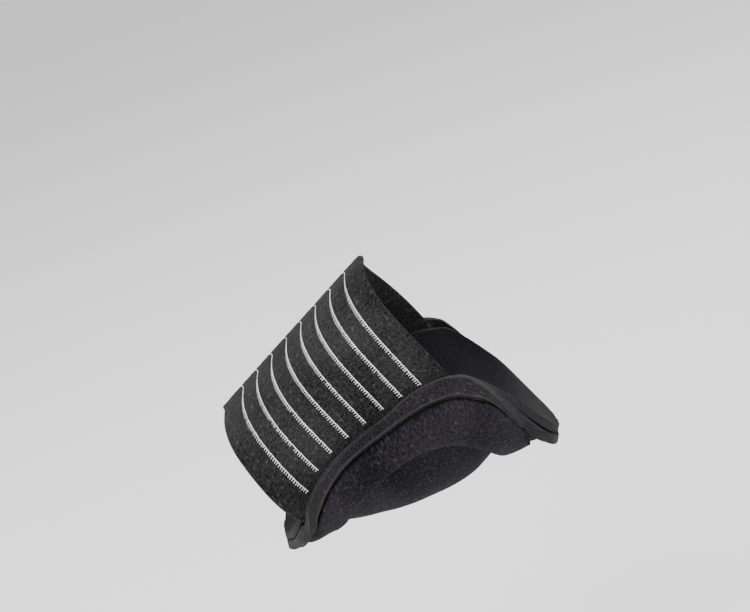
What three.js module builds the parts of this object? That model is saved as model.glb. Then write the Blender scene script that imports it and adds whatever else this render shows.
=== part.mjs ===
// Cushioned arch support: an oval pad, rolled up at both sides into a saddle, and a wide elastic band that
// closes it into a loop. Millimetres, +X to the rear edge, -Y to the inner side and +Z up through the loop.
// The origin is the seat, on the middle of the pad's liner.
import * as THREE from 'three';
import { mergeVertices } from 'three/addons/utils/BufferGeometryUtils.js';

// Driving dimensions
const PAD_LENGTH = 93.5; // front edge to rear edge, along the loop's axis
const LEAN = THREE.MathUtils.degToRad(19); // the loop leans forward by this angle
const FRONT_BULGE = 8.5; // how far the pad's front edge bows forward
const REAR_BULGE = 1; // how far its rear edge bows back
const LINER_THICKNESS = 2.8;
const BASE_THICKNESS = 2.8;
const LAYER_GAP = 0.45; // clearance between layers that touch
const CUSHION_GAP = 0.7; // clearance of the cushions under the base layer

// Wide elastic band
const BAND_THICKNESS = 1.8;
const BAND_START = 2.6; // distance of its front edge along the axis
const BAND_WIDTH = 73;
const BAND_BOW = 3.2; // it bows this far forward between the pad's rim and the crest of the loop
const BOW_ROUND = 0.13; // share of that way over which the bow is rounded off at the crest
const BOW_SKEW = 0.7; // below 1 moves the fullest bow towards the crest
const BAND_TAIL = 0.1; // share of the pad's reach over which each end is sewn in between the layers
const BAND_STEP = THREE.MathUtils.degToRad(4); // stretch above the rim before it leaves the liner
const BAND_CLOSE = THREE.MathUtils.degToRad(60); // stretch over which it closes on the loop's inner face
const CREST_FRONT = 48.9; // height of the loop at the band's front edge, square to the axis
const CREST_BACK = 63.9; // height of the loop at the band's rear edge
const CREST_SHIFT = -6; // the loop is highest towards the inner side
const CREST_FULLNESS = 0.92; // below 1 gives a fuller crest

// Where the layers part to take the band's ends, as shares of the pad's reach and length
const SEAM_INNER = 0.64;
const SEAM_OUTER = 0.82;
const SEAM_END = 0.832;
const SEAM_CLOSED = 0.909;

// Where the layers turn flat towards the rear, as shares of the pad's length, and by how much
const FLAT_START = 0.76;
const FLAT_END = 1;
const FLAT_SHARE = 0.55;

// Cushions under the base layer: half sizes as shares of the pad's length and reach
const CUSHION_CENTRE = 0.511;
const RING_OUTLINE = { ahead: 0.478, behind: 0.462, side: 0.936, powerAhead: 4.2, powerBehind: 4.4 };
const WINDOW_OUTLINE = { ahead: 0.398, behind: 0.347, side: 0.8, powerAhead: 2.2, powerBehind: 2.2 };
const RING_DEPTH_SIDE = 9.5; // at the window's edge, on the inner and outer sides
const RING_DEPTH_FRONT = 2.4; // at the window's edge, towards the front
const RING_DEPTH_REAR = 4.6; // at the window's edge, towards the rear
const RING_RISE_FRONT = 3.2; // a higher power keeps the ring shallow further round from the front
const RING_RISE_REAR = 1.6; // the same from the rear
const RING_RIM_SHARE = 0.4; // how much of that depth is left at the flange
const RING_FULLNESS = 0.55;
const CENTRE_DEPTH = 13.4;
const CENTRE_TILT = 0.08; // share by which the dome is deeper towards the rear
const CENTRE_POWER = 2.5;
const CENTRE_SHRINK = 0.98; // the dome's outline inside the ring's window

// Sections across the loop's axis, from front to rear. along: distance on the axis; halfWidth: half the
// inner width; floor: height of the lowest point; side: height of the widest point; reach: angle in
// degrees that the pad wraps up from the bottom.
const SECTIONS = [
  { along: 0, halfWidth: 33, floor: 0, side: 25, reach: 44 },
  { along: 10, halfWidth: 34.5, floor: 1.5, side: 25.5, reach: 66 },
  { along: 25, halfWidth: 36, floor: 1.5, side: 25.5, reach: 80 },
  { along: 45, halfWidth: 36.5, floor: -1, side: 23.5, reach: 87 },
  { along: 66, halfWidth: 36.5, floor: -8, side: 21, reach: 90 },
  { along: 79, halfWidth: 35, floor: -14, side: 16.4, reach: 90 },
  { along: 89, halfWidth: 33, floor: -20, side: 11, reach: 62 },
  { along: 93.5, halfWidth: 33, floor: -27.3, side: -1, reach: 26 },
];

// Facets of each piece
const LAYER_FACETS = { along: 27, across: 24 };
const BAND_FACETS = { along: 16, around: 48 };
const CUSHION_FACETS = { around: 48, ring: 12, dome: 14 };

const FABRIC_BLACK = 0x2b292d;
const LINER_BLACK = 0x262528;
const BAND_CHARCOAL = 0x303031;

// Smooth monotone curve through one column of the sections
function sectionValue(column, along) {
  const last = SECTIONS.length - 2;
  const step = (k) => SECTIONS[k + 1].along - SECTIONS[k].along;
  const slope = (k) => (SECTIONS[k + 1][column] - SECTIONS[k][column]) / step(k);
  const tangent = (k) => {
    if (k === 0) return slope(0);
    if (k > last) return slope(last);
    const before = slope(k - 1);
    const after = slope(k);
    return before * after > 0 ? (2 * before * after) / (before + after) : 0;
  };
  let k = 0;
  while (k < last && along > SECTIONS[k + 1].along) k += 1;
  const h = step(k);
  const t = (along - SECTIONS[k].along) / h;
  const startValue = (1 + 2 * t) * (1 - t) ** 2 * SECTIONS[k][column];
  const endValue = t * t * (3 - 2 * t) * SECTIONS[k + 1][column];
  return startValue + endValue + h * (t * (1 - t) ** 2 * tangent(k) + t * t * (t - 1) * tangent(k + 1));
}

// Point of the loop's inner face: the angle runs from 0 at the bottom to -90 degrees at the inner side,
// -180 at the crest and +90 at the outer side. Each section lies in a plane that leans by LEAN.
function loopFace(along, angle) {
  const halfWidth = sectionValue('halfWidth', along);
  const floor = sectionValue('floor', along);
  const side = sectionValue('side', along);
  const crest = CREST_FRONT + ((CREST_BACK - CREST_FRONT) * (along - BAND_START)) / BAND_WIDTH;
  const over = Math.max(-Math.cos(angle), 0);
  const under = Math.max(Math.cos(angle), 0);
  const rise = over > 0 ? side + (crest - side) * over ** CREST_FULLNESS : side - (side - floor) * under;
  return new THREE.Vector3(
    along * Math.cos(LEAN) - rise * Math.sin(LEAN),
    halfWidth * Math.sin(angle) + CREST_SHIFT * over ** 2,
    along * Math.sin(LEAN) + rise * Math.cos(LEAN),
  );
}

// Normal of a surface, out of the loop
function outward(surface, a, b) {
  const STEP = 0.002;
  const alongA = surface(a + STEP, b).sub(surface(a - STEP, b));
  const alongB = surface(a, b + STEP).sub(surface(a, b - STEP));
  return alongB.cross(alongA).normalize();
}

// The pad's own coordinates: u from the front edge (0) to the rear edge (1), v from the inner rim (-1)
// to the outer rim (1)
function padSurface(u, v) {
  const bow = (1 - v * v) * (REAR_BULGE * u ** 3 - FRONT_BULGE * (1 - u) ** 3);
  const reach = THREE.MathUtils.degToRad(sectionValue('reach', PAD_LENGTH * u));
  return loopFace(PAD_LENGTH * u + bow, v * reach);
}

// Point at a depth below the pad's inner face. Towards the rear the layers stack flat, along the normal of
// the middle line, so their cut edges face the sides.
function underPad(u, v, depth) {
  const flat = FLAT_SHARE * THREE.MathUtils.smoothstep(u, FLAT_START, FLAT_END);
  const direction = outward(padSurface, u, v).lerp(outward(padSurface, u, 0), flat).normalize();
  return padSurface(u, v).addScaledVector(direction, depth);
}

// Extra room between the layers where the band's ends are sewn in, near the rims
function seamRoom(u, v) {
  const nearRim = THREE.MathUtils.smoothstep(Math.abs(v), SEAM_INNER, SEAM_OUTER);
  const besideBand = 1 - THREE.MathUtils.smoothstep(u, SEAM_END, SEAM_CLOSED);
  return (BAND_THICKNESS + LAYER_GAP) * nearRim * besideBand;
}

function baseUnderside(u, v) {
  return LINER_THICKNESS + LAYER_GAP + seamRoom(u, v) + BASE_THICKNESS;
}

// Carries every vertex of a closed primitive to its place on the object
function shaped(primitive, place) {
  primitive.deleteAttribute('normal');
  primitive.deleteAttribute('uv');
  const geometry = mergeVertices(primitive);
  const position = geometry.getAttribute('position');
  const vertex = new THREE.Vector3();
  for (let i = 0; i < position.count; i += 1) {
    const placed = place(vertex.fromBufferAttribute(position, i));
    position.setXYZ(i, placed.x, placed.y, placed.z);
  }
  geometry.computeVertexNormals();
  return geometry;
}

// One layer of the pad: a block whose length, width and thickness follow the pad's coordinates, with
// finer facets towards the rims
function layer(innerDepth, thickness) {
  const block = new THREE.BoxGeometry(1, 2, 1, LAYER_FACETS.along, LAYER_FACETS.across, 1);
  return shaped(block, (p) => {
    const u = p.x + 0.5;
    const v = 1.5 * p.y - 0.5 * p.y ** 3;
    const depth = innerDepth(u, v) + thickness * (0.5 - p.z);
    return underPad(u, v, depth);
  });
}

// The band: a block bent round the crest, its two ends tucked outside the liner
function elasticBand() {
  const block = new THREE.BoxGeometry(1, 1, 1, BAND_FACETS.along, BAND_FACETS.around, 1);
  return shaped(block, (p) => {
    const along = BAND_START + BAND_WIDTH * (p.x + 0.5);
    const reach = THREE.MathUtils.degToRad(sectionValue('reach', along));
    const start = reach * (1 - BAND_TAIL);
    const turn = start + (2 * Math.PI - 2 * start) * (p.y + 0.5);
    const climb = Math.min(turn, 2 * Math.PI - turn);
    const aboveRim = Math.max(climb - reach, 0);
    const fromTop = Math.hypot(1 - aboveRim / (Math.PI - reach), BOW_ROUND) - BOW_ROUND;
    const bow = BAND_BOW * Math.sin(Math.PI * (fromTop / (Math.hypot(1, BOW_ROUND) - BOW_ROUND)) ** BOW_SKEW);
    const close = THREE.MathUtils.smoothstep(aboveRim, BAND_STEP, BAND_STEP + BAND_CLOSE);
    const inside = (LINER_THICKNESS + LAYER_GAP) * (1 - close);
    const depth = inside + BAND_THICKNESS * (p.z + 0.5);
    return loopFace(along - bow, -turn).addScaledVector(outward(loopFace, along - bow, -turn), depth);
  });
}

// Rounded oval outline on the pad at an angle round its centre
function outlinePoint(outline, angle) {
  const c = Math.cos(angle);
  const s = Math.sin(angle);
  const power = c < 0 ? outline.powerAhead : outline.powerBehind;
  const lengthwise = Math.sign(c) * Math.abs(c) ** (2 / power);
  return {
    u: CUSHION_CENTRE + lengthwise * (c < 0 ? outline.ahead : outline.behind),
    v: Math.sign(s) * Math.abs(s) ** (2 / power) * outline.side,
  };
}

// The ring: a torus whose tube is flat against the base layer and rounded below, deepest at the sides
function ringCushion() {
  const TUBE = 0.5;
  const torus = new THREE.TorusGeometry(1, TUBE, CUSHION_FACETS.ring, CUSHION_FACETS.around);
  return shaped(torus, (p) => {
    const angle = Math.atan2(p.y, p.x);
    const across = (1 + (Math.hypot(p.x, p.y) - 1) / TUBE) / 2;
    const edge = outlinePoint(WINDOW_OUTLINE, angle);
    const rim = outlinePoint(RING_OUTLINE, angle);
    const u = THREE.MathUtils.lerp(edge.u, rim.u, across);
    const v = THREE.MathUtils.lerp(edge.v, rim.v, across);
    const endDepth = p.x < 0 ? RING_DEPTH_FRONT : RING_DEPTH_REAR;
    const rise = Math.abs(Math.sin(angle)) ** (p.x < 0 ? RING_RISE_FRONT : RING_RISE_REAR);
    const fullDepth = THREE.MathUtils.lerp(endDepth, RING_DEPTH_SIDE, rise);
    const taper = THREE.MathUtils.lerp(1, RING_RIM_SHARE, across);
    const bulge = fullDepth * taper * Math.max(-p.z / TUBE, 0) ** RING_FULLNESS;
    return underPad(u, v, baseUnderside(u, v) + CUSHION_GAP + bulge);
  });
}

// The dome: a ball flattened against the base layer inside the ring's window
function centreCushion() {
  const ball = new THREE.SphereGeometry(1, CUSHION_FACETS.around, CUSHION_FACETS.dome);
  ball.rotateX(Math.PI / 2);
  return shaped(ball, (p) => {
    const radius = Math.min(Math.hypot(p.x, p.y), 1);
    const edge = outlinePoint(WINDOW_OUTLINE, Math.atan2(p.y, p.x));
    const u = THREE.MathUtils.lerp(CUSHION_CENTRE, edge.u, radius * CENTRE_SHRINK);
    const v = edge.v * radius * CENTRE_SHRINK;
    const fullDepth = CENTRE_DEPTH * (1 + CENTRE_TILT * p.x);
    const bulge = p.z < 0 ? fullDepth * (1 - radius ** CENTRE_POWER) : 0;
    return underPad(u, v, baseUnderside(u, v) + CUSHION_GAP + bulge);
  });
}

function piece(name, geometry, color, roughness) {
  const material = new THREE.MeshStandardMaterial({ color, roughness, metalness: 0 });
  const mesh = new THREE.Mesh(geometry, material);
  mesh.name = name;
  return mesh;
}

const archSupport = new THREE.Group();
archSupport.add(piece('foot_liner', layer(() => 0, LINER_THICKNESS), LINER_BLACK, 0.9));
const baseTop = (u, v) => baseUnderside(u, v) - BASE_THICKNESS;
archSupport.add(piece('base_layer', layer(baseTop, BASE_THICKNESS), FABRIC_BLACK, 0.85));
archSupport.add(piece('ring_cushion', ringCushion(), FABRIC_BLACK, 0.85));
archSupport.add(piece('centre_cushion', centreCushion(), FABRIC_BLACK, 0.85));
archSupport.add(piece('elastic_band', elasticBand(), BAND_CHARCOAL, 0.95));
archSupport.position.copy(padSurface(CUSHION_CENTRE, 0)).negate();

export default archSupport;
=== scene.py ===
# %% [markdown]
# # A cushioned arch support in Blender
#
# The object is an oval pad, rolled up at both sides into a saddle, and a wide elastic band that closes it
# into a loop. The solids of the frame give each piece its size and place. This lesson works out the same
# surfaces again with numpy, finely enough to carry the lips, creases and yarns that show.

# %% Load the frame
import bpy
import math
import numpy as np
from mathutils import Matrix, Vector


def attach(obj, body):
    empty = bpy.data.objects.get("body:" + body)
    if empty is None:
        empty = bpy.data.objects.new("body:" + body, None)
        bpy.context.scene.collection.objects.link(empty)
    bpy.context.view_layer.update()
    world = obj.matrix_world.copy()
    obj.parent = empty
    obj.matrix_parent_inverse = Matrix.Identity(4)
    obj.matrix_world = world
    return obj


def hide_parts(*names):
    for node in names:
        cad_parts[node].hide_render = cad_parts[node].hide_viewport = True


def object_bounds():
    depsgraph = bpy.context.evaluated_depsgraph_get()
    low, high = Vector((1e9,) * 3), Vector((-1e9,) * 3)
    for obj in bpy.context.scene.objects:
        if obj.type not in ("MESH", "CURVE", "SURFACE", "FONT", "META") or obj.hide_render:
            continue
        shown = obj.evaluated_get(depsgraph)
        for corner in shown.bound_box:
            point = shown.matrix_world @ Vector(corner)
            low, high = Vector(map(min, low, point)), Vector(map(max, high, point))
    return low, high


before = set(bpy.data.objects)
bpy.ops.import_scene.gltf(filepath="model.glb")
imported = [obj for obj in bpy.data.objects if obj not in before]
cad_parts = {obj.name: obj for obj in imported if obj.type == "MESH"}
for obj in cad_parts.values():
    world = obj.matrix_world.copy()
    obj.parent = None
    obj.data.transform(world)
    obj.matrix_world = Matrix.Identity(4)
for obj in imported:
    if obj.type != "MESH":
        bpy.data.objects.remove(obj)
CAD_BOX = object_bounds()
BODY = "root"
MM = 0.001
print("frame nodes:", sorted(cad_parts))

# %% [markdown]
# ## The shape that everything follows
#
# The inner faces of pad and band lie on one tube, the hollow of the loop. It could be sculpted, or lofted
# from curves, but as a formula it lets every layer lie at its own depth on the same surface. Its
# cross-sections stand in planes that lean forward. A short table gives each section's half width, the
# heights of its floor and of its widest point, and the angle up to which the pad wraps it. A monotone cubic
# runs through each column, because it never overshoots the rows.

# %% Sections of the loop, in millimetres and degrees
LEAN = math.radians(19)
SECTION = {
    "along": np.array([0, 10, 25, 45, 66, 79, 89, 93.5]),
    "half_width": np.array([33, 34.5, 36, 36.5, 36.5, 35, 33, 33.0]),
    "floor": np.array([0, 1.5, 1.5, -1, -8, -14, -20, -27.3]),
    "side": np.array([25, 25.5, 25.5, 23.5, 21, 16.4, 11, -1.0]),
    "reach": np.array([44, 66, 80, 87, 90, 90, 62, 26.0]),
}
PAD_LENGTH = SECTION["along"][-1]
BAND_START, BAND_WIDTH = 2.6, 73.0
CREST_FRONT, CREST_BACK, CREST_SHIFT, CREST_FULLNESS = 48.9, 63.9, -6.0, 0.92


def section_value(column, along):
    """Monotone cubic through a column: Hermite curves whose inner slopes are harmonic means of the
    neighbouring chords, or zero where the chords turn."""
    rows, values = SECTION["along"], SECTION[column]
    step = np.diff(rows)
    chord = np.diff(values) / step
    before, after = chord[:-1], chord[1:]
    together = before * after > 0
    slope = np.empty_like(values)
    slope[1:-1] = np.where(together, 2 * before * after / np.where(together, before + after, 1), 0)
    slope[0], slope[-1] = chord[0], chord[-1]
    k = np.clip(np.searchsorted(rows, along) - 1, 0, len(step) - 1)
    t = (along - rows[k]) / step[k]
    ends = (1 + 2 * t) * (1 - t) ** 2 * values[k] + t * t * (3 - 2 * t) * values[k + 1]
    return ends + step[k] * (t * (1 - t) ** 2 * slope[k] + t * t * (t - 1) * slope[k + 1])


def tube(along, angle):
    """A point of the hollow: half an ellipse below the widest point, a fuller one above it, with the crest
    shifted to the inner side. The angle is 0 at the bottom and -180 degrees at the crest."""
    side, floor = section_value("side", along), section_value("floor", along)
    crest = CREST_FRONT + (CREST_BACK - CREST_FRONT) * (along - BAND_START) / BAND_WIDTH
    over = np.clip(-np.cos(angle), 0, None)
    under = np.clip(np.cos(angle), 0, None)
    rise = side + (crest - side) * over ** CREST_FULLNESS - (side - floor) * under
    width = section_value("half_width", along) * np.sin(angle) + CREST_SHIFT * over ** 2
    forward = along * np.cos(LEAN) - rise * np.sin(LEAN)
    return np.stack([forward, width, along * np.sin(LEAN) + rise * np.cos(LEAN)], -1)


def unit(vectors):
    """Each vector over its length."""
    return vectors / np.linalg.norm(vectors, axis=-1, keepdims=True)


def frame_at(surface, a, b, step=0.002):
    """The two tangents and the outward normal of a surface, from central differences."""
    along_a = surface(a + step, b) - surface(a - step, b)
    along_b = surface(a, b + step) - surface(a, b - step)
    return unit(along_a), unit(along_b), unit(np.cross(along_b, along_a))


def outside(surface, a, b, depth):
    """A point at a depth outside the surface, along its normal."""
    return surface(a, b) + frame_at(surface, a, b)[2] * np.asarray(depth)[..., None]


# %% [markdown]
# The pad has coordinates of its own: u from its front edge to its rear edge, v from the inner rim to the
# outer rim. The origin of the part is the seat in the middle of the pad, so every point is shifted by it.

# %% The pad's own coordinates
FRONT_BULGE, REAR_BULGE = 8.5, 1.0
CENTRE = 0.511
FLAT_START, FLAT_END, FLAT_SHARE = 0.76, 1.0, 0.55


def smoothstep(x, low, high):
    """The cubic that eases from 0 at low to 1 at high."""
    t = np.clip((x - low) / (high - low), 0, 1)
    return t * t * (3 - 2 * t)


def pad(u, v):
    """The inner face of the pad: the tube, up to the section's reach on each side, with both ends
    bowed outwards."""
    bow = (1 - v * v) * (REAR_BULGE * u ** 3 - FRONT_BULGE * (1 - u) ** 3)
    return tube(PAD_LENGTH * u + bow, v * np.radians(section_value("reach", PAD_LENGTH * u)))


def under_pad(u, v, depth):
    """A point at a depth below the pad. Towards the rear its direction turns from the normal there to the
    normal of the middle line, so the layers stack flat and their cut edges face the sides."""
    flat = FLAT_SHARE * smoothstep(u, FLAT_START, FLAT_END)[..., None]
    own, middle = frame_at(pad, u, v)[2], frame_at(pad, u, 0 * v)[2]
    return pad(u, v) + unit(own + (middle - own) * flat) * np.asarray(depth)[..., None]


SEAT = pad(np.array(CENTRE), np.array(0.0))
HALF_GIRTH = 56.0


def pad_cloth(u, v):
    """Flat cloth coordinates of the pad in millimetres: length along, girth across."""
    return np.stack(np.broadcast_arrays(PAD_LENGTH * u, HALF_GIRTH * v), -1)


print("seat before the shift, mm:", SEAT.round(2))

# %% [markdown]
# ## Meshes from arrays
#
# Every new piece is a grid of points. Whole index arrays make its quads, so no loop runs over vertices. The
# cloth coordinates go into a UV map in millimetres, and the weave in the materials reads that map.

# %% Mesh helpers
# The edge mask lightens the cloth in two places: wear on the cut edges, and a painted highlight along the
# flange's lip.
CLOTH_MAP, WEAR_AND_HIGHLIGHT_MASK = "cloth_mm", "edge_wear_and_lip_highlight"


def grid_quads(rows, columns, wrap=False):
    """Quads of a grid of rows by columns, closed round the columns where wrap is set."""
    index = np.arange(rows * columns).reshape(rows, columns)
    after = np.roll(index, -1, axis=1)
    last = columns if wrap else columns - 1
    corners = [index[:-1, :last], index[1:, :last], after[1:, :last], after[:-1, :last]]
    return np.stack(corners, -1).reshape(-1, 4)


def make_piece(name, points, faces, cloth, wear_and_highlight=None):
    """A mesh object at the origin from points in millimetres, with its cloth coordinates as a UV map and,
    where it has one, a mask of cut-edge wear and of the painted highlight along the lip as an attribute."""
    mesh = bpy.data.meshes.new(name)
    mesh.from_pydata(((points - SEAT) * MM).tolist(), [], [list(face) for face in faces])
    corner = np.empty(len(mesh.loops), dtype=np.int32)
    mesh.loops.foreach_get("vertex_index", corner)
    layer = mesh.uv_layers.new(name=CLOTH_MAP)
    layer.data.foreach_set("uv", cloth[corner].astype(np.float32).ravel())
    if wear_and_highlight is not None:
        mask = mesh.attributes.new(WEAR_AND_HIGHLIGHT_MASK, "FLOAT", "POINT")
        mask.data.foreach_set("value", wear_and_highlight.astype(np.float32).ravel())
    mesh.polygons.foreach_set("use_smooth", np.full(len(mesh.polygons), True))
    mesh.update()
    piece = bpy.data.objects.new(name, mesh)
    bpy.context.scene.collection.objects.link(piece)
    return piece


def dress(piece, material, slot, *nodes):
    """Gives a piece its material and its body, and hides the solids it stands for. The slot is not used."""
    piece.data.materials.append(material)
    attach(piece, BODY)
    if nodes:
        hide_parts(*nodes)
    triangles = sum(len(face.vertices) - 2 for face in piece.data.polygons)
    print(f"{piece.name}: {triangles} triangles before modifiers")


# %% [markdown]
# ## Fabrics
#
# The cushions and layers are black knit with a bloom of short fibres, and the band is woven elastic with a
# brushed nap. Scanned cloth could give their grain, but waves and noise need no picture files and follow
# the cloth coordinates at any size. Two effects are shared by all the finishes, so each is a shader node
# group: a knit relief, and a fuzz of fibres with light specks and slow changes of tone. Each group puts out
# values that change over the surface. Constant values stay on the sockets of the Principled shader.

# %% Node helpers
def feed(tree, socket, value):
    """Links an input to another node's output, or sets it to a plain value."""
    if isinstance(value, bpy.types.NodeSocket):
        tree.links.new(value, socket)
    else:
        socket.default_value = value


def math_node(tree, operation, *values):
    """A Math node fed by sockets or plain numbers; returns its output."""
    node = tree.nodes.new("ShaderNodeMath")
    node.operation = operation
    for socket, value in zip(node.inputs, values):
        feed(tree, socket, value)
    return node.outputs[0]


def mix_colours(tree, share, first, second, clamp=True):
    """A colour between two others, by a share that may pass 1 where it isn't clamped; returns its output."""
    node = tree.nodes.new("ShaderNodeMix")
    node.data_type = "RGBA"
    node.clamp_factor = clamp
    for label, value in (("Factor", share), ("A", first), ("B", second)):
        feed(tree, node.inputs[label], value)
    return node.outputs["Result"]


# %% Noise, ranges and groups
def noise_node(tree, place, scale, detail):
    """A Noise texture at a place, with its scale and detail; returns its value."""
    node = tree.nodes.new("ShaderNodeTexNoise")
    for label, value in (("Vector", place), ("Scale", scale), ("Detail", detail)):
        feed(tree, node.inputs[label], value)
    return node.outputs["Fac"]


def stretched(tree, value, low, high):
    """A value mapped from low to 0 and from high to 1, and held between them; returns its output."""
    node = tree.nodes.new("ShaderNodeMapRange")
    for label, level in (("Value", value), ("From Min", low), ("From Max", high)):
        feed(tree, node.inputs[label], level)
    return node.outputs["Result"]


def new_group(name, inputs, outputs):
    """An empty node group with named sockets; returns the tree and its two end nodes."""
    tree = bpy.data.node_groups.new(name, "ShaderNodeTree")
    for way, sockets in (("INPUT", inputs), ("OUTPUT", outputs)):
        for label, kind in sockets.items():
            tree.interface.new_socket(label, in_out=way, socket_type=kind)
    return tree, tree.nodes.new("NodeGroupInput"), tree.nodes.new("NodeGroupOutput")


# %% Knit relief: rows of small stitches
HALF_WALE, STITCH_RAISE, STITCH_GAIN = 0.5, 1.6, 0.38


def knit_group():
    """Height of a knit: a ridge across each wale, times a wave along it whose phase leans away from the
    ridge, which draws the V of a stitch. The wave is raised above zero and scaled to peak near one."""
    inputs = {"Cloth": "NodeSocketVector", "Wale": "NodeSocketFloat", "Course": "NodeSocketFloat"}
    tree, start, end = new_group("knit_relief", inputs, {"Height": "NodeSocketFloat"})
    split = tree.nodes.new("ShaderNodeSeparateXYZ")
    tree.links.new(start.outputs["Cloth"], split.inputs[0])
    wales = math_node(tree, "DIVIDE", split.outputs["Y"], start.outputs["Wale"])
    ridge = math_node(tree, "PINGPONG", wales, HALF_WALE)
    courses = math_node(tree, "DIVIDE", split.outputs["X"], start.outputs["Course"])
    leaning = math_node(tree, "ADD", courses, ridge)
    wave = math_node(tree, "SINE", math_node(tree, "MULTIPLY", leaning, 2 * math.pi))
    lifted = math_node(tree, "MULTIPLY", math_node(tree, "ADD", wave, STITCH_RAISE), STITCH_GAIN)
    rounded = math_node(tree, "SINE", math_node(tree, "MULTIPLY", ridge, math.pi))
    tree.links.new(math_node(tree, "MULTIPLY", lifted, rounded), end.inputs["Height"])
    return tree


# %% Fuzz and tone: fine fibres, light specks and slow changes of colour
SLOW_SCALE, SLOW_DETAIL, SLOW_SHARE = 38.0, 3.0, 0.4
FINE_DETAIL, FINE_SHARE = 4.0, 0.6
DOT_SCALE, DOT_DETAIL = 0.55, 1.0
SPECK_RANGE, TONE_RANGE = (0.6, 0.75), (0.4, 0.6)


def fuzz_group():
    """Tone: a slow noise over the object and a fine one over the cloth, mixed between two colours.
    Specks: the highest points of a third noise. Height: the fine noise."""
    inputs = {"Cloth": "NodeSocketVector", "Dark": "NodeSocketColor", "Light": "NodeSocketColor",
              "Fibre Scale": "NodeSocketFloat", "Speck": "NodeSocketFloat"}
    outputs = {"Colour": "NodeSocketColor", "Height": "NodeSocketFloat"}
    tree, start, end = new_group("fibre_fuzz", inputs, outputs)
    place = tree.nodes.new("ShaderNodeTexCoord")
    slow = noise_node(tree, place.outputs["Object"], SLOW_SCALE, SLOW_DETAIL)
    fine = noise_node(tree, start.outputs["Cloth"], start.outputs["Fibre Scale"], FINE_DETAIL)
    dot_scale = math_node(tree, "MULTIPLY", start.outputs["Fibre Scale"], DOT_SCALE)
    dots = noise_node(tree, start.outputs["Cloth"], dot_scale, DOT_DETAIL)
    speck = math_node(tree, "MULTIPLY", stretched(tree, dots, *SPECK_RANGE), start.outputs["Speck"])
    tone = math_node(tree, "ADD", math_node(tree, "MULTIPLY", slow, SLOW_SHARE),
                     math_node(tree, "MULTIPLY", fine, FINE_SHARE))
    share = math_node(tree, "ADD", stretched(tree, tone, *TONE_RANGE), speck)
    colour = mix_colours(tree, share, start.outputs["Dark"], start.outputs["Light"], clamp=False)
    tree.links.new(colour, end.inputs["Colour"])
    tree.links.new(fine, end.inputs["Height"])
    return tree


KNIT, FUZZ = knit_group(), fuzz_group()
print("node groups:", KNIT.name, FUZZ.name)


# %% One maker for every fabric
BUMP_DEPTH, FUZZ_SHARE, SHEEN_ROUGHNESS, SPECULAR = 0.35, 0.8, 0.5, 0.06
# Gain of the lighter mix for cut-edge wear and for the painted highlight along the lip.
WEAR_AND_HIGHLIGHT_GAIN = 2.0


def fray_and_highlight(tree, colour, fuzz_height, wear_and_highlight):
    """The colour, mixed with a lighter one by the mask of cut-edge wear and painted lip highlight, times
    twice the fuzz.
    """
    edge = tree.nodes.new("ShaderNodeAttribute")
    edge.attribute_name = WEAR_AND_HIGHLIGHT_MASK
    share = math_node(tree, "MULTIPLY", edge.outputs["Fac"], fuzz_height)
    return mix_colours(tree, math_node(tree, "MULTIPLY", share, WEAR_AND_HIGHLIGHT_GAIN), colour, (*wear_and_highlight, 1))


def fabric(name, dark, light, stitch, relief, fibre, speck, rough, sheen, wear_and_highlight=None):
    """Principled cloth: the fuzz colours it, and the knit and the fuzz together lift it through a Bump. The
    stitch is the wale and course pitch in millimetres, and the last argument is the lighter colour for the
    wear on its cut edges and for the painted highlight along its lip."""
    material = bpy.data.materials.new(name)
    material.use_nodes = True
    tree = material.node_tree
    shader = tree.nodes["Principled BSDF"]
    shader.inputs["Roughness"].default_value = rough
    shader.inputs["Sheen Weight"].default_value = sheen
    shader.inputs["Sheen Roughness"].default_value = SHEEN_ROUGHNESS
    shader.inputs["Specular IOR Level"].default_value = SPECULAR
    cloth = tree.nodes.new("ShaderNodeUVMap")
    cloth.uv_map = CLOTH_MAP
    knit = tree.nodes.new("ShaderNodeGroup")
    knit.node_tree = KNIT
    knit.inputs["Wale"].default_value, knit.inputs["Course"].default_value = stitch
    fuzz = tree.nodes.new("ShaderNodeGroup")
    fuzz.node_tree = FUZZ
    fuzz.inputs["Dark"].default_value = (*dark, 1)
    fuzz.inputs["Light"].default_value = (*light, 1)
    fuzz.inputs["Fibre Scale"].default_value = fibre
    fuzz.inputs["Speck"].default_value = speck
    for group in (knit, fuzz):
        tree.links.new(cloth.outputs["UV"], group.inputs["Cloth"])
    height = math_node(tree, "ADD", knit.outputs["Height"],
                       math_node(tree, "MULTIPLY", fuzz.outputs["Height"], FUZZ_SHARE))
    bump = tree.nodes.new("ShaderNodeBump")
    bump.inputs["Strength"].default_value = relief
    bump.inputs["Distance"].default_value = BUMP_DEPTH * MM
    tree.links.new(height, bump.inputs["Height"])
    tree.links.new(bump.outputs["Normal"], shader.inputs["Normal"])
    colour = fuzz.outputs["Colour"]
    if wear_and_highlight is not None:
        colour = fray_and_highlight(tree, colour, fuzz.outputs["Height"], wear_and_highlight)
    tree.links.new(colour, shader.inputs["Base Color"])
    return material


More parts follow.
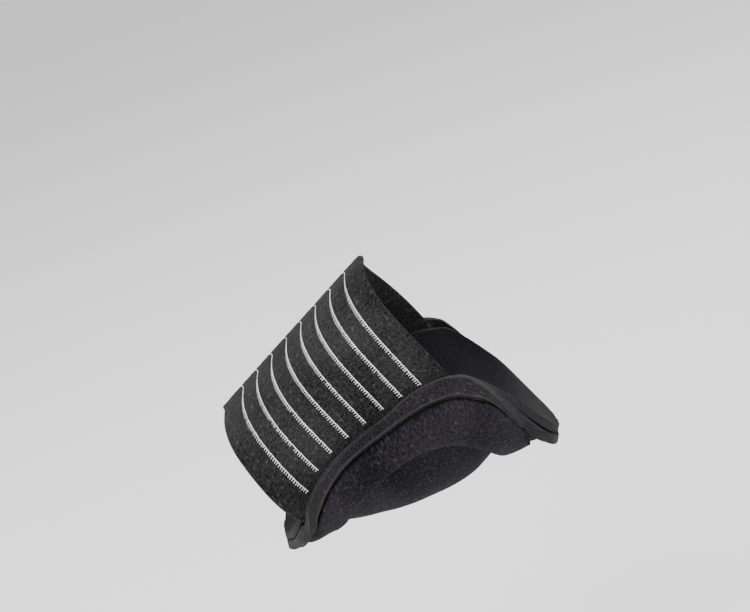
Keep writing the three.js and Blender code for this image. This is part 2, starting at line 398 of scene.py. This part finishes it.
# The flange and liner cloths end with a lighter colour for cut-edge wear and for the painted highlight along
# the lip.
CUSHION_CLOTH = fabric("cushion_mesh", dark=(0.0032, 0.0029, 0.0038), light=(0.0205, 0.0186, 0.0226),
                       stitch=(0.55, 0.42), relief=0.5, fibre=1.3, speck=1.2, rough=0.8, sheen=0.0)
FLANGE_CLOTH = fabric("flange_knit", dark=(0.0035, 0.003, 0.0035), light=(0.0225, 0.0208, 0.0225),
                      stitch=(0.6, 0.45), relief=0.45, fibre=1.4, speck=1.2, rough=0.72, sheen=0.04,
                      wear_and_highlight=(0.05, 0.048, 0.05))
LINER_CLOTH = fabric("liner_brushed", dark=(0.008, 0.0075, 0.0085), light=(0.019, 0.018, 0.020),
                     stitch=(0.9, 0.7), relief=0.5, fibre=1.8, speck=0.3, rough=0.9, sheen=0.05,
                     wear_and_highlight=(0.03, 0.029, 0.03))
BAND_CLOTH = fabric("band_elastic", dark=(0.001, 0.001, 0.0011), light=(0.0235, 0.0235, 0.024),
                    stitch=(0.62, 0.9), relief=0.8, fibre=1.15, speck=1.2, rough=0.92, sheen=0.05)
YARN_WHITE = fabric("stripe_yarn", dark=(0.72, 0.71, 0.69), light=(0.95, 0.94, 0.92),
                    stitch=(0.3, 0.3), relief=0.3, fibre=6.0, speck=0.1, rough=0.9, sheen=0.1)
print("materials:", [m.name for m in bpy.data.materials])

# %% [markdown]
# ## The two layers of the plate
#
# Liner and base are sheets of foam-backed knit with cut edges. The base is the lower one: its margin outside
# the cushions shows as a flange, with a rolled lip along the crease where the cushions start. Solidify could
# give a sheet its thickness, but not a lip on one face alone. Lip, crease and rim are ovals, so both layers
# are worked out on rings round the pad's centre. A profile starts at the centre of the upper face, goes out
# to the rim, round the cut edge, and back along the underside.

# %% Outlines on the pad
CREASE_OUTLINE = {"ahead": 0.485, "behind": 0.476, "side": 0.95, "power_ahead": 4.2, "power_behind": 4.4}
WINDOW_OUTLINE = {"ahead": 0.398, "behind": 0.328, "side": 0.80, "power_ahead": 2.2, "power_behind": 2.2}
LINER_RIM = {"ahead": 0.511, "behind": 0.489, "side": 1.0, "power_ahead": 26, "power_behind": 26}
BASE_RIM = {"ahead": 0.511, "behind": 0.492, "side": 1.03, "power_ahead": 26, "power_behind": 26}
TURN_FINENESS = 20


def outline(shape, turn):
    """A rounded oval about the pad's centre: the radius at which the sum of both shares, each raised to the
    power, is one."""
    c, s = np.cos(turn), np.sin(turn)
    length = np.where(c < 0, shape["ahead"], shape["behind"])
    power = np.where(c < 0, shape["power_ahead"], shape["power_behind"])
    radius = (np.abs(c / length) ** power + np.abs(s / shape["side"]) ** power) ** (-1 / power)
    return np.stack([CENTRE + radius * c, radius * s])


def path_length(path):
    """Running length along a row of points: the sum of the steps so far."""
    return np.concatenate([[0], np.cumsum(np.linalg.norm(np.diff(path, axis=0), axis=1))])


def even_turns(shape, count):
    """Angles round an outline that space its points evenly on the pad's inner face, read back from the
    running length of a finer one."""
    fine = np.linspace(-np.pi, np.pi, TURN_FINENESS * count + 1)
    run = path_length(pad(*outline(shape, fine)))
    return np.interp(np.linspace(0, run[-1], count, endpoint=False), run, fine)


def pad_rings(rim, share, turn):
    """u and v on rings: up to a share of 1 the crease outline shrunk towards the centre, and from 1 to 2 the
    way from the crease to the rim."""
    crease = outline(CREASE_OUTLINE, turn)
    centre = np.array([CENTRE, 0.0])[:, None]
    shrunk = (crease - centre)[:, None, :] * np.minimum(share, 1)
    beyond = (outline(rim, turn) - crease)[:, None, :] * np.maximum(share - 1, 0)
    return centre[:, None, :] + shrunk + beyond


print("u at the front and rear of the crease:", outline(CREASE_OUTLINE, np.array([np.pi, 0]))[0].round(3))

# %% A cut sheet on those rings
LAYER_TURNS, DISC_ROWS, LIP_ROWS, STRIP_ROWS, BEND_ROWS = 440, 20, 14, 9, 9
DISC_START, LIP_REACH, EDGE_ROUND, CORNER_POWER = 0.02, 1.7, 0.5, 0.35
EDGE_WOBBLE, EDGE_WAVES = 0.16, ((9, 1, 1.0), (23, 2, 0.6))
# LIP_TOP and LIP_SPREAD place the painted highlight along the lip, and EDGE_WEAR is the wear on the cut
# edges.
LIP_TOP, LIP_SPREAD, EDGE_WEAR = 0.45, 0.4, 0.05


def squared(t):
    """A sine or cosine pushed towards its ends, which turns an arc into a corner with a small radius."""
    return np.sign(t) * np.abs(t) ** CORNER_POWER


def cut_sheet(name, rim, top, bottom, flange):
    """A closed sheet between two depths. The flange adds depth to the lower face by the distance from the
    crease. The rim wavers by a sum of sines, each with its count, phase and height, as a hand-cut edge does.
    The cut edge shows wear, and a painted highlight lies along the top of the lip."""
    turn = even_turns(rim, LAYER_TURNS)
    width = np.linalg.norm(pad(*outline(rim, turn)) - pad(*outline(CREASE_OUTLINE, turn)), axis=-1)
    waver = EDGE_WOBBLE * sum(height * np.sin(count * turn + phase) for count, phase, height in EDGE_WAVES)
    disc = np.linspace(DISC_START, 1, DISC_ROWS)[:, None] * np.ones(LAYER_TURNS)
    lip = 1 + np.linspace(0, LIP_REACH, LIP_ROWS)[1:, None] / width
    rest = width + waver - EDGE_ROUND - LIP_REACH
    strip = 1 + (LIP_REACH + np.linspace(0, 1, STRIP_ROWS)[1:, None] * rest) / width
    bend = np.linspace(0, np.pi, BEND_ROWS)[1:-1, None]
    edge = 2 + (waver - EDGE_ROUND * (1 - squared(np.sin(bend)))) / width
    face = np.concatenate([disc, lip, strip])
    share = np.concatenate([face, edge, face[::-1]])
    ends = np.ones(len(face))
    lower = np.concatenate([0 * ends, 0.5 - 0.5 * squared(np.cos(bend[:, 0])), ends])[:, None]
    u, v = pad_rings(rim, share, turn)
    beyond = (share - 1) * width
    depth = top(u, v) * (1 - lower) + (bottom(u, v) + flange(beyond)) * lower
    # Painted highlight: a lighter band on the lower face just past the crease, where the lip catches light.
    # The cut edge adds a little wear.
    lip_highlight = lower * np.exp(-((beyond - LIP_TOP) / LIP_SPREAD) ** 2)
    wear_and_highlight = np.maximum(lip_highlight, EDGE_WEAR * 4 * lower * (1 - lower))
    points = under_pad(u, v, depth).reshape(-1, 3)
    quads = grid_quads(len(share), LAYER_TURNS, wrap=True).tolist()
    first = list(range(LAYER_TURNS))
    last = list(range(len(points) - 1, len(points) - LAYER_TURNS - 1, -1))
    cloth = pad_cloth(u, v) + (lower * (bottom(u, v) - top(u, v)))[..., None]
    return make_piece(name, points, quads + [first, last], cloth.reshape(-1, 2), wear_and_highlight)


# %% Liner
LINER_THICKNESS, LAYER_GAP = 2.8, 0.35


def liner():
    """The upper sheet: its upper face is the inner face of the pad, and it has no flange."""
    piece = cut_sheet("foot_liner_pad", LINER_RIM, lambda u, v: 0 * u,
                      lambda u, v: LINER_THICKNESS + 0 * u, lambda t: 0 * t)
    dress(piece, LINER_CLOTH, "liner_fabric", "foot_liner")


liner()

# %% Base layer and its flange
BASE_THICKNESS, BAND_THICKNESS = 2.8, 1.8
SEAM_INNER, SEAM_OUTER, SEAM_FRONT, SEAM_END, SEAM_CLOSED = 0.66, 0.84, 0.03, 0.832, 0.909
REAR_PARTING, PARTING_START = 0.5, 0.94
FLANGE_STEP, STEP_START, STEP_END = 0.9, 0.05, 0.4
LIP_HEIGHT, BEAD_PLACE, BEAD_SPREAD = 0.5, 0.8, 0.45


def base_top(u, v):
    """Depth of the base's upper face: under the liner, with room for the band's ends near the rims beside the
    band, and parted a little from the liner at the rear tips."""
    beside_band = smoothstep(u, 0, SEAM_FRONT) * (1 - smoothstep(u, SEAM_END, SEAM_CLOSED))
    near_rim = smoothstep(np.abs(v), SEAM_INNER, SEAM_OUTER) * beside_band
    parting = REAR_PARTING * smoothstep(u, PARTING_START, 1)
    return LINER_THICKNESS + LAYER_GAP + (BAND_THICKNESS + LAYER_GAP) * near_rim + parting


def base_underside(u, v):
    """Depth of the base's lower face."""
    return base_top(u, v) + BASE_THICKNESS


def flange_profile(t):
    """Extra depth of the flange by the distance from the crease: a steep step, and a bead just behind it."""
    bead = np.exp(-((t - BEAD_PLACE) / BEAD_SPREAD) ** 2)
    return smoothstep(t, STEP_START, STEP_END) * (FLANGE_STEP + LIP_HEIGHT * bead)


def base_layer():
    """The lower sheet, with the flange on its lower face."""
    piece = cut_sheet("base_flange", BASE_RIM, base_top, base_underside, flange_profile)
    dress(piece, FLANGE_CLOTH, "flange_fabric", "base_layer")


base_layer()

# %% [markdown]
# ## The cushions
#
# Under the base sit a ring cushion and, in its window, a domed cushion. Both are stretch fabric over soft
# foam. They could be sculpted, but a formula keeps the crease and the window where they belong. It gives
# their sewn shape, a little slimmer than the real one, and a short cloth simulation with inner pressure
# fills them. The faces that lie on the base are held still. Cloth at this size hardly moves in metres, so
# the simulation runs on an enlarged copy and is scaled back.

# %% Filling by simulation
SIM_SCALE, SIM_FRAMES = 20.0, 14
FABRIC_MASS, FABRIC_STIFFNESS, FABRIC_BENDING = 0.15, 20, 2


def fill_cushion(points, faces, held, pressure, cap):
    """Runs Cloth with pressure on an enlarged copy and returns the points, each moved by at most the cap."""
    mesh = bpy.data.meshes.new("fill_trial")
    start = (points - SEAT) * MM * SIM_SCALE
    mesh.from_pydata(start.tolist(), [], faces.tolist())
    trial = bpy.data.objects.new("fill_trial", mesh)
    scene = bpy.context.scene
    scene.collection.objects.link(trial)
    group = trial.vertex_groups.new(name="held")
    group.add(np.nonzero(held)[0].tolist(), 1.0, "REPLACE")
    cloth = trial.modifiers.new("fill", "CLOTH")
    cloth.settings.use_pressure = True
    cloth.settings.uniform_pressure_force = pressure
    cloth.settings.vertex_group_mass = group.name
    cloth.settings.effector_weights.gravity = 0
    cloth.settings.mass = FABRIC_MASS
    cloth.settings.tension_stiffness = FABRIC_STIFFNESS
    cloth.settings.compression_stiffness = FABRIC_STIFFNESS
    cloth.settings.bending_stiffness = FABRIC_BENDING
    cloth.point_cache.frame_end = SIM_FRAMES
    for step in range(1, SIM_FRAMES + 1):
        scene.frame_set(step)
    shown = trial.evaluated_get(bpy.context.evaluated_depsgraph_get()).to_mesh()
    moved = np.empty(3 * len(points), dtype=np.float32)
    shown.vertices.foreach_get("co", moved)
    shift = (moved.reshape(-1, 3) - start) / (MM * SIM_SCALE)
    length = np.linalg.norm(shift, axis=1, keepdims=True)
    shift = shift * (cap / np.maximum(length, cap))
    bpy.data.objects.remove(trial)
    scene.frame_set(1)
    print(f"filled: {length.mean():.2f} mm on average, {length.max():.2f} mm at most before the cap")
    return points + shift


# %% Ring cushion: a rounded section carried round the pad
CUSHION_GAP = 0.4
RING_INSET = {"ahead": 0.985, "behind": 0.975, "side": 0.985}
RING_DEPTH_SIDE, RING_DEPTH_FRONT, RING_DEPTH_REAR = 9.0, 1.8, 3.6
RING_RISE_FRONT, RING_RISE_REAR = 3.2, 1.6
RING_TURNS, WALL_ROWS, CROWN_ROWS, BACK_ROWS = 300, 14, 30, 9
WALL_SHARE, WALL_POWER, CREASE_POWER = 0.1, 0.55, 9
CROWN_FALL, CROWN_FALL_REAR, CROWN_POWER = 0.58, 0.4, 1.5
RING_PRESSURE, RING_CAP = 3.0, 1.0


def ring_section():
    """Shares across the ring, from the window (0) to the crease (1), how far each point is lifted off the
    base, and how much of the crown's fall it takes. A rounded corner climbs out of the window, a crown falls
    away from it by a power of the way across, and a short arc closes the crease."""
    climb = np.linspace(0, np.pi / 2, WALL_ROWS, endpoint=False)
    away = np.linspace(0, 1, CROWN_ROWS)
    share = np.concatenate([WALL_SHARE * (1 - np.cos(climb) ** WALL_POWER),
                            WALL_SHARE + (1 - WALL_SHARE) * away])
    back = np.linspace(1, 0, BACK_ROWS + 2)[1:-1]
    lift = np.concatenate([np.sin(climb) ** WALL_POWER, np.sqrt(1 - away ** CREASE_POWER), 0 * back])
    drop = np.concatenate([0 * climb, away ** CROWN_POWER, 0 * back])
    return np.concatenate([share, back]), lift[:, None], drop[:, None]


def ring_cushion():
    """The section carried round the pad between the window and the crease. Its depth rises from each end to
    the sides by a power of the sine of the turn, and its crown is flattest at the rear."""
    crease = {**CREASE_OUTLINE, **{end: share * CREASE_OUTLINE[end] for end, share in RING_INSET.items()}}
    turn = even_turns(crease, RING_TURNS)
    share, lift, drop = ring_section()
    window, outer = outline(WINDOW_OUTLINE, turn), outline(crease, turn)
    u, v = window[:, None, :] + (outer - window)[:, None, :] * share[:, None]
    end = np.where(np.cos(turn) < 0, RING_DEPTH_FRONT, RING_DEPTH_REAR)
    rise = np.abs(np.sin(turn)) ** np.where(np.cos(turn) < 0, RING_RISE_FRONT, RING_RISE_REAR)
    full = end + (RING_DEPTH_SIDE - end) * rise
    fall = CROWN_FALL + (CROWN_FALL_REAR - CROWN_FALL) * smoothstep(np.cos(turn), 0, 1)
    depth = base_underside(u, v) + CUSHION_GAP + lift * (1 - fall * drop) * full
    points = under_pad(u, v, depth).reshape(-1, 3)
    index = np.arange(len(points)).reshape(-1, RING_TURNS)
    index = np.vstack([index, index[:1]])
    after = np.roll(index, -1, axis=1)
    quads = np.stack([index[:-1], after[:-1], after[1:], index[1:]], -1).reshape(-1, 4)
    held = np.repeat(lift <= 0, RING_TURNS)
    points = fill_cushion(points, quads, held, RING_PRESSURE, RING_CAP)
    piece = make_piece("ring_cushion_pad", points, quads, pad_cloth(u, v).reshape(-1, 2))
    dress(piece, CUSHION_CLOTH, "cushion_fabric", "ring_cushion")


ring_cushion()

# %% Centre cushion: a square grid rounded into an oval
DOME_CELLS = 90
DOME_DEPTH, DOME_TILT, DOME_POWER, DOME_INSET = 12.9, 0.08, 2.5, 0.985
DOME_PRESSURE, DOME_CAP = 3.0, 0.8


def round_grid(cells):
    """A square grid pulled into a disc, each side bowed out so that its corners reach the circle. It has no
    pole, so the weave stays even across the middle."""
    a, b = np.meshgrid(np.linspace(-1, 1, cells), np.linspace(-1, 1, cells), indexing="ij")
    return a * np.sqrt(1 - b * b / 2), b * np.sqrt(1 - a * a / 2)


def centre_cushion():
    """Two discs that share their rim: one on the base, one bulging by one minus the radius to a power, more
    towards the rear."""
    x, y = round_grid(DOME_CELLS)
    radius = np.hypot(x, y).clip(0, 1)
    edge_u, edge_v = outline(WINDOW_OUTLINE, np.arctan2(y, x))
    u = CENTRE + (edge_u - CENTRE) * radius * DOME_INSET
    v = edge_v * radius * DOME_INSET
    flat = base_underside(u, v) + CUSHION_GAP
    upper = under_pad(u, v, flat).reshape(-1, 3)
    bulge = DOME_DEPTH * (1 + DOME_TILT * x) * (1 - radius ** DOME_POWER)
    lower = under_pad(u, v, flat + bulge).reshape(-1, 3)
    inside = np.zeros((DOME_CELLS, DOME_CELLS), dtype=bool)
    inside[1:-1, 1:-1] = True
    inside = inside.ravel()
    lower_index = np.arange(inside.size)
    lower_index[inside] = inside.size + np.arange(inside.sum())
    quads = grid_quads(DOME_CELLS, DOME_CELLS)
    faces = np.concatenate([quads, lower_index[quads][:, ::-1]])
    points = np.concatenate([upper, lower[inside]])
    cloth = pad_cloth(u, v).reshape(-1, 2)
    cloth = np.concatenate([cloth, cloth[inside]])
    held = np.arange(len(points)) < inside.size
    points = fill_cushion(points, faces, held, DOME_PRESSURE, DOME_CAP)
    piece = make_piece("centre_cushion_pad", points, faces, cloth)
    dress(piece, CUSHION_CLOTH, "cushion_fabric", "centre_cushion")


centre_cushion()

# %% [markdown]
# ## The elastic band
#
# The band is one length of woven elastic, with each end sewn in between the two layers. A bevelled curve
# could make it, but its ends have to follow the pad's rims, so it is worked out on the same tube. Its
# section across the width is a flat bar with rounded selvedges, carried round the loop. A brushed nap
# covers it, so its points are also lifted a little by a smoothed random field.

# %% Band: a flat bar carried round the loop
BAND_TAIL, BAND_STEP, BAND_CLOSE = 0.1, math.radians(4), math.radians(60)
BAND_BOW, BOW_ROUND, BOW_SKEW = 3.2, 0.13, 0.7
BAND_AROUND, BAND_ACROSS, SELVEDGE_STEPS = 330, 130, 7
NAP_HEIGHT, NAP_SEED = 0.05, 11


def band_surface(along, way):
    """The band's inner face: way runs from the outer end (0) over the crest to the inner end (1). Beside the
    rims it stands outside the liner, and above them it closes on the tube. Between rim and crest it bows
    forward by half a sine, fullest towards the crest and rounded off there."""
    reach = np.radians(section_value("reach", along))
    first = reach * (1 - BAND_TAIL)
    turn = 2 * np.pi - first - (2 * np.pi - 2 * first) * way
    above = np.maximum(np.minimum(turn, 2 * np.pi - turn) - reach, 0)
    from_top = np.hypot(1 - above / (np.pi - reach), BOW_ROUND) - BOW_ROUND
    fall = np.maximum(from_top, 0) / (math.hypot(1, BOW_ROUND) - BOW_ROUND)
    bow = BAND_BOW * np.sin(np.pi * fall ** BOW_SKEW)
    open_share = 1 - smoothstep(above, BAND_STEP, BAND_STEP + BAND_CLOSE)
    return outside(tube, along - bow, -turn, (LINER_THICKNESS + LAYER_GAP) * open_share)


def nap(shape):
    """A random field, each point averaged with its neighbours, with a spread of one."""
    field = np.random.default_rng(NAP_SEED).normal(size=shape)
    field = field + np.roll(field, 1, 0) + np.roll(field, 1, 1)
    return field / field.std()


def elastic_band():
    """A rounded bar: the outer face, one selvedge, the inner face and the other selvedge, all round."""
    face = np.linspace(0, 1, BAND_ACROSS)
    bend = np.linspace(0, np.pi, SELVEDGE_STEPS + 2)[1:-1]
    half = BAND_THICKNESS / 2
    flat = half + (BAND_WIDTH - BAND_THICKNESS) * face
    across = np.concatenate([flat, BAND_WIDTH - half + half * np.sin(bend), flat[::-1],
                             half - half * np.sin(bend)])
    level = np.concatenate([np.ones(BAND_ACROSS), 0.5 + 0.5 * np.cos(bend),
                            np.zeros(BAND_ACROSS), 0.5 - 0.5 * np.cos(bend)])
    way = np.linspace(0, 1, BAND_AROUND)
    a, w = np.meshgrid(BAND_START + across, way, indexing="xy")
    depth = level * BAND_THICKNESS + (2 * level - 1) * NAP_HEIGHT * nap(a.shape)
    points = outside(band_surface, a, w, depth).reshape(-1, 3)
    quads = grid_quads(BAND_AROUND, len(across), wrap=True).tolist()
    first = list(range(len(across)))
    last = list(range(len(points) - 1, len(points) - len(across) - 1, -1))
    run = path_length(band_surface(np.full(BAND_AROUND, BAND_START + BAND_WIDTH / 2), way))
    cloth = np.stack([a, np.broadcast_to(run[:, None], a.shape)], -1).reshape(-1, 2)
    piece = make_piece("elastic_band_wrap", points, quads + [first, last], cloth)
    dress(piece, BAND_CLOTH, "band_elastic", "elastic_band")
    return piece, run[-1]


band_piece, BAND_LENGTH = elastic_band()
print(f"band: {BAND_WIDTH} mm wide, {BAND_LENGTH:.0f} mm from end to end")

# %% [markdown]
# ## The white stripes
#
# Eight white stripes run round the loop. Each is a comb of yarn: short floats cross the stripe like rungs,
# and along their rear ends runs a cord of overlapping stitches. They are too small for separate objects
# and too clear for a bump, so one small lens is copied to every float by whole arrays of centres and axes.

# %% A small lens and how it is copied
LENS_RINGS, LENS_SIDES = 4, 6
LENS_FULLNESS = 0.6


def lens():
    """A closed lens: rings whose radius follows a half sine, raised to make it full, with a point at each
    tip."""
    t = np.linspace(0, np.pi, LENS_RINGS + 2)[1:-1]
    turn = np.linspace(0, 2 * np.pi, LENS_SIDES, endpoint=False)
    girth = np.sin(t) ** LENS_FULLNESS
    body = np.stack([np.repeat(-np.cos(t), LENS_SIDES), np.outer(girth, np.cos(turn)).ravel(),
                     np.outer(girth, np.sin(turn)).ravel()], -1)
    points = np.concatenate([body, [[-1, 0, 0], [1, 0, 0]]])
    tip = LENS_RINGS * LENS_SIDES
    ring = np.arange(LENS_SIDES)
    after = np.roll(ring, -1)
    low = np.stack([np.full(LENS_SIDES, tip), ring, after], -1)
    high = tip - LENS_SIDES + np.stack([np.full(LENS_SIDES, LENS_SIDES + 1), after, ring], -1)
    quads = grid_quads(LENS_RINGS, LENS_SIDES, wrap=True)
    return points, quads[:, ::-1], np.concatenate([low, high])[:, ::-1]


def scatter(name, centres, axes):
    """Copies of the lens: each centre plus the lens's three coordinates along its own three axes."""
    shape, quads, triangles = lens()
    points = centres[:, None, :] + np.einsum("pk,nkd->npd", shape, axes)
    offset = (np.arange(len(centres)) * len(shape))[:, None, None]
    faces = (quads + offset).reshape(-1, 4).tolist() + (triangles + offset).reshape(-1, 3).tolist()
    cloth = (centres[:, None, :2] + shape[None, :, :2]).reshape(-1, 2)
    return make_piece(name, points.reshape(-1, 3), faces, cloth)


print("faces in one lens:", sum(len(faces) for faces in lens()[1:]))

# %% Stripes
STRIPES, STRIPE_FIRST, STRIPE_PITCH, STRIPE_CLEAR = 8, 10.3, 7.66, 2.2
STRIPE_STEPS, CREST_WAY = 900, 0.5
FLOAT_PITCH, YARN_SPREAD, YARN_DRIFT, YARN_SEED = 0.9, 0.06, 0.03, 7
RUNG = {"half": (0.62, 0.13, 0.1), "shift": -0.2, "thin": 0.15, "lengthwise": False}
CORD = {"half": (0.6, 0.17, 0.15), "shift": 0.42, "thin": 0.7, "lengthwise": True}
CREST_CLEAR, CREST_FULL = 1.0, 20.0


def stripe_yarns():
    """Rungs and cord stitches at a steady pitch along each stripe, a little jittered, on the outer face. They
    stop short of the flange on both sides, and thin out towards the crest."""
    noise = np.random.default_rng(YARN_SEED)
    way = np.linspace(0, 1, STRIPE_STEPS)
    centres, axes = [], []
    for number in range(STRIPES):
        along = BAND_START + STRIPE_FIRST + STRIPE_PITCH * number
        run = path_length(band_surface(np.full_like(way, along), way))
        reach = np.radians(section_value("reach", np.array(along)))
        tucked = BAND_TAIL * reach / (2 * np.pi - 2 * reach * (1 - BAND_TAIL)) * run[-1]
        stops = np.arange(tucked + STRIPE_CLEAR, run[-1] - tucked - STRIPE_CLEAR, FLOAT_PITCH)
        from_crest = np.abs(stops - np.interp(CREST_WAY, way, run))
        fullness = smoothstep(from_crest, CREST_CLEAR, CREST_FULL)
        for yarn in (RUNG, CORD):
            at = np.interp(stops + noise.normal(0, YARN_SPREAD * FLOAT_PITCH, len(stops)), run, way)
            shift = CORD["shift"] + (yarn["shift"] - CORD["shift"]) * fullness
            place = along + shift + noise.normal(0, YARN_DRIFT, len(stops))
            across, around, up = frame_at(band_surface, place, at)
            long_way = around if yarn["lengthwise"] else across
            half = np.array(yarn["half"]) * noise.normal(1, YARN_SPREAD, (len(stops), 3))
            slim = yarn["thin"] + (1 - yarn["thin"]) * fullness
            half[:, 1 if yarn["lengthwise"] else 0] *= slim
            own = np.stack([long_way, np.cross(up, long_way), up], 1)
            axes.append(own * half[:, :, None])
            centres.append(outside(band_surface, place, at, np.full_like(at, BAND_THICKNESS)))
    piece = scatter("stripe_yarns", np.concatenate(centres), np.concatenate(axes))
    dress(piece, YARN_WHITE, "band_elastic")
    return piece


stripe_piece = stripe_yarns()

# %% [markdown]
# ## Floor, light and camera
#
# The support keeps its worn form only while it is held up, so the floor lies well below. Large soft lights
# keep the black cloth readable. The camera looks at the inner side from a little above, and is rolled about
# its own axis, so that the rear edge rises in the picture.

# %% Floor
FLOOR_DROP, FLOOR_HALF = 0.12, 3.0
FLOOR_TONE, FLOOR_ROUGHNESS = 0.93, 0.95


def floor():
    """One pale square, far larger than the view."""
    low = CAD_BOX[0][2] - FLOOR_DROP
    corner = np.array([[-1, -1], [1, -1], [1, 1], [-1, 1]]) * FLOOR_HALF
    mesh = bpy.data.meshes.new("studio_floor")
    mesh.from_pydata([(x, y, low) for x, y in corner.tolist()], [], [(0, 1, 2, 3)])
    piece = bpy.data.objects.new("studio_floor", mesh)
    bpy.context.scene.collection.objects.link(piece)
    material = bpy.data.materials.new("floor_paper")
    material.use_nodes = True
    shader = material.node_tree.nodes["Principled BSDF"]
    shader.inputs["Base Color"].default_value = (FLOOR_TONE, FLOOR_TONE, FLOOR_TONE, 1)
    shader.inputs["Roughness"].default_value = FLOOR_ROUGHNESS
    mesh.materials.append(material)
    print(f"floor: at a height of {low:.3f} m")


floor()

# %% Lights
LIGHTS = [
    {"name": "key", "place": (-0.7, -1.0, 0.9), "size": 1.0, "power": 27},
    {"name": "fill", "place": (0.9, -0.9, 0.3), "size": 1.2, "power": 5},
    {"name": "top", "place": (0.1, 0.3, 1.3), "size": 1.4, "power": 20},
]
WORLD_STRENGTH = 0.9


def lights():
    """Square area lights that all face the support, and an even white world."""
    for row in LIGHTS:
        data = bpy.data.lights.new(row["name"], "AREA")
        data.size = row["size"]
        data.energy = row["power"]
        lamp = bpy.data.objects.new(row["name"], data)
        lamp.location = row["place"]
        lamp.rotation_euler = (-Vector(row["place"])).to_track_quat("-Z", "Y").to_euler()
        bpy.context.scene.collection.objects.link(lamp)
    world = bpy.data.worlds.new("studio")
    world.use_nodes = True
    world.node_tree.nodes["Background"].inputs["Color"].default_value = (1, 1, 1, 1)
    world.node_tree.nodes["Background"].inputs["Strength"].default_value = WORLD_STRENGTH
    bpy.context.scene.world = world


lights()
print("lights:", [row["name"] for row in LIGHTS])

# %% Camera
VIEW_ELEVATION, VIEW_ROLL = math.radians(14), math.radians(18.5)
VIEW_DISTANCE, MM_PER_PIXEL, FRAME_PIXELS, SENSOR_WIDTH = 0.9, 0.35, 750, 36.0
VIEW_POINT = np.array([48.7, -18.4, 70.45])
VIEW_TARGET = Vector((VIEW_POINT - SEAT) * MM)


def camera():
    """Looks along +Y from a little above, rolled so that the rear edge rises; the lens makes one pixel of
    the frame span the given size at the target."""
    back = Vector((0, -math.cos(VIEW_ELEVATION), math.sin(VIEW_ELEVATION)))
    level = Vector((1, 0, 0))
    upright = back.cross(level)
    right = level * math.cos(VIEW_ROLL) - upright * math.sin(VIEW_ROLL)
    up = level * math.sin(VIEW_ROLL) + upright * math.cos(VIEW_ROLL)
    data = bpy.data.cameras.new("photo_view")
    data.sensor_width = SENSOR_WIDTH
    data.lens = SENSOR_WIDTH * VIEW_DISTANCE / (MM_PER_PIXEL * MM * FRAME_PIXELS)
    eye = bpy.data.objects.new("photo_view", data)
    turn = Matrix((right, up, back)).transposed().to_4x4()
    eye.matrix_world = Matrix.Translation(VIEW_TARGET + back * VIEW_DISTANCE) @ turn
    bpy.context.scene.collection.objects.link(eye)
    bpy.context.scene.camera = eye
    print(f"camera: lens {data.lens:.0f} mm at {VIEW_DISTANCE} m")


camera()
